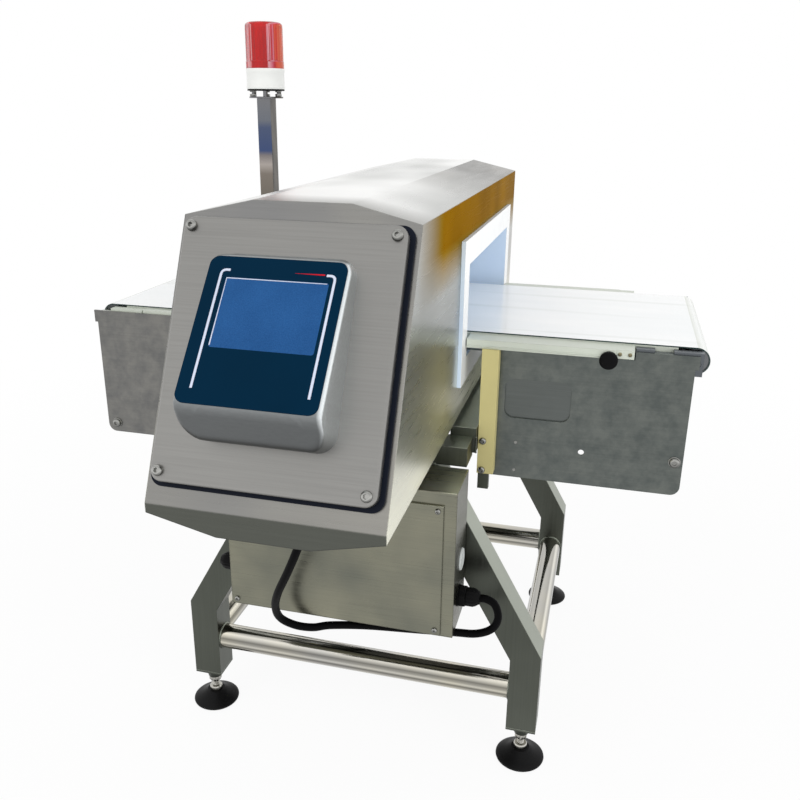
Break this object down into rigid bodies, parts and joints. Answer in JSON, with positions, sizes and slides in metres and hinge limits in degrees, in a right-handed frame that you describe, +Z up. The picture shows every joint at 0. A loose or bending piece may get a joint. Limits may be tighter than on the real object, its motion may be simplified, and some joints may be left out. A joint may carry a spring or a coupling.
{
  "type": "conveyor metal detector",
  "caption": "Conveyor metal detector: faceted metal head round a short flat belt, sloping control panel, splayed stand on levelling feet, wiring cabinet and red signal lamp.",
  "frame": {"origin": "middle of the overall box, on the floor under the pads", "axes": "+X along the belt to the right as the panel is read, +Y from the panel to the back of the head, +Z up"},
  "size_m": [0.9816, 0.9934, 1.173],
  "materials": {
    "stand_steel": "satin stainless steel",
    "rail_steel": "polished stainless tube",
    "foot_black": "moulded black plastic",
    "stud_steel": "bright steel",
    "plate_steel": "satin stainless sheet",
    "cream_plastic": "cream engineering plastic",
    "screw_steel": "bright steel",
    "bed_plastic": "white sliding plastic",
    "block_metal": "machined, dull",
    "bearer_steel": "satin",
    "belt_white": "smooth white belt",
    "roller_steel": "turned",
    "head_steel": "brushed stainless sheet",
    "door_steel": "brushed stainless sheet",
    "liner_white": "smooth white plastic",
    "coil_copper": "wound copper, hidden",
    "isolator_rubber": "black rubber",
    "gasket_navy": "dark sealing rubber",
    "hood_steel": "satin sheet",
    "fascia_navy": "printed film",
    "screen_blue": "unlit blue display behind film",
    "cabinet_steel": "brushed stainless sheet",
    "module_grey": "grey housing",
    "gland_black": "black nylon",
    "plug_grey": "pale grey plastic",
    "mast_steel": "satin stainless tube",
    "lamp_white": "white plastic",
    "lens_red": "clear red plastic with prisms",
    "cable_black": "black sheath"
  },
  "bodies": {
    "machine": {"leg_front_left": "stand_steel", "leg_front_right": "stand_steel", "leg_rear_left": "stand_steel", "leg_rear_right": "stand_steel", "rail_front": "rail_steel", "rail_rear": "rail_steel", "rail_left": "rail_steel", "rail_right": "rail_steel", "leg_bosses": "stand_steel", "crossbars": "stand_steel", "beams": "stand_steel", "post_tabs": "stand_steel", "insulating_posts": "cream_plastic", "post_screws": "screw_steel", "plate_front_left": "plate_steel", "plate_front_right": "plate_steel", "plate_rear_left": "plate_steel", "plate_rear_right": "plate_steel", "slider_bed": "bed_plastic", "bed_side_rails": "bed_plastic", "bed_bearers": "bearer_steel", "axle_blocks_left": "bed_plastic", "axle_blocks_right": "block_metal", "return_blocks": "bed_plastic", "tie_rods": "screw_steel", "belt": "belt_white", "head_shell": "head_steel", "tunnel_liner": "liner_white", "search_coils": "coil_copper", "isolator_pads": "isolator_rubber", "head_bolts": "screw_steel", "door_gasket": "gasket_navy", "panel_door": "door_steel", "door_screws": "screw_steel", "display_housing": "hood_steel", "display_fascia": "fascia_navy", "touch_screen": "screen_blue", "cabinet_shell": "cabinet_steel", "cabinet_cover": "cabinet_steel", "cover_screws": "screw_steel", "cabinet_bracket": "stand_steel", "control_modules": "module_grey", "cable_glands": "gland_black", "blanking_plug": "plug_grey", "lamp_post": "mast_steel", "lamp_base": "lamp_white", "lamp_lens": "lens_red", "cable": "cable_black"},
    "foot_front_left": {"foot_pad_front_left": "foot_black", "foot_stud_front_left": "stud_steel"},
    "foot_front_right": {"foot_pad_front_right": "foot_black", "foot_stud_front_right": "stud_steel"},
    "foot_rear_left": {"foot_pad_rear_left": "foot_black", "foot_stud_rear_left": "stud_steel"},
    "foot_rear_right": {"foot_pad_rear_right": "foot_black", "foot_stud_rear_right": "stud_steel"},
    "drive_roller": {"drive_roller": "roller_steel"},
    "tail_roller": {"tail_roller": "roller_steel"},
    "return_roller_left": {"return_roller_left": "roller_steel"},
    "return_roller_right": {"return_roller_right": "roller_steel"}
  },
  "joints": [
    {"name": "foot_front_left_adjust", "type": "slide", "parent": "machine", "child": "foot_front_left", "axis": [0, 0, -1], "range_m": [0, 0.02]},
    {"name": "foot_front_right_adjust", "type": "slide", "parent": "machine", "child": "foot_front_right", "axis": [0, 0, -1], "range_m": [0, 0.02]},
    {"name": "foot_rear_left_adjust", "type": "slide", "parent": "machine", "child": "foot_rear_left", "axis": [0, 0, -1], "range_m": [0, 0.02]},
    {"name": "foot_rear_right_adjust", "type": "slide", "parent": "machine", "child": "foot_rear_right", "axis": [0, 0, -1], "range_m": [0, 0.02]},
    {"name": "drive_spin", "type": "hinge", "parent": "machine", "child": "drive_roller", "pos_m": [-0.46577, 0.16471, 0.68795], "axis": [0, 1, 0], "continuous": true},
    {"name": "tail_spin", "type": "hinge", "parent": "machine", "child": "tail_roller", "pos_m": [0.47073, 0.16471, 0.68795], "axis": [0, 1, 0], "continuous": true},
    {"name": "return_left_spin", "type": "hinge", "parent": "machine", "child": "return_roller_left", "pos_m": [-0.22278, 0.16471, 0.66295], "axis": [0, 1, 0], "continuous": true},
    {"name": "return_right_spin", "type": "hinge", "parent": "machine", "child": "return_roller_right", "pos_m": [0.20722, 0.16471, 0.66295], "axis": [0, 1, 0], "continuous": true}
  ],
  "couplings": [
    {"joint": "tail_spin", "follows": "drive_spin", "ratio": 1},
    {"joint": "return_left_spin", "follows": "drive_spin", "ratio": -1.1869},
    {"joint": "return_right_spin", "follows": "drive_spin", "ratio": -1.1869}
  ]
}
